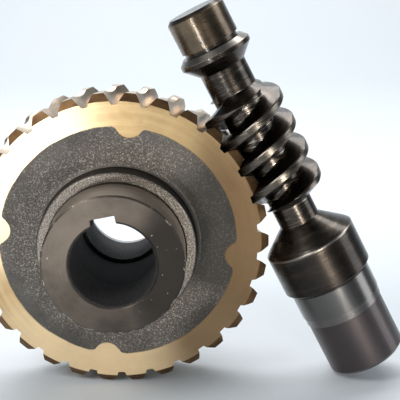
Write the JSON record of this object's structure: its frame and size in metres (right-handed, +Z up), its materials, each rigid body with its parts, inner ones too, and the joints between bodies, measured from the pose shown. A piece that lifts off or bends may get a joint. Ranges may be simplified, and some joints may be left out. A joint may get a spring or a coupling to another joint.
{
  "type": "worm gear set",
  "caption": "Right-hand cylindrical worm on its shaft in mesh with a bronze-rimmed iron worm wheel that has a keyed bore, turning together at right angles.",
  "frame": {"origin": "centre of the wheel's bore, in the middle of the rim's width", "axes": "+Y along the wheel's axis from front to rear, +Z up; the worm lies beside the wheel towards +X in the XZ plane, its top leaning 27 degrees towards -X"},
  "size_m": [0.2603, 0.1243, 0.2289],
  "materials": {
    "hardened_steel": "dark oiled, ground seats",
    "grey_iron": "turned boss, rough cast web",
    "bronze": "turned face, hobbed teeth",
    "plain_steel": "ground"
  },
  "bodies": {
    "housing_side": {"setting_washer": "plain_steel"},
    "wheel": {"hub_casting": "grey_iron", "bronze_rim": "bronze"},
    "worm": {"worm_shaft": "hardened_steel"}
  },
  "joints": [
    {"name": "wheel_spin", "type": "hinge", "parent": "housing_side", "child": "wheel", "pos_m": [0, 0, 0], "axis": [0, 1, 0], "continuous": true},
    {"name": "worm_spin", "type": "hinge", "parent": "housing_side", "child": "worm", "pos_m": [0.0891, 0, 0.0454], "axis": [-0.454, 0, 0.891], "continuous": true}
  ],
  "couplings": [
    {"joint": "worm_spin", "follows": "wheel_spin", "ratio": 15}
  ]
}
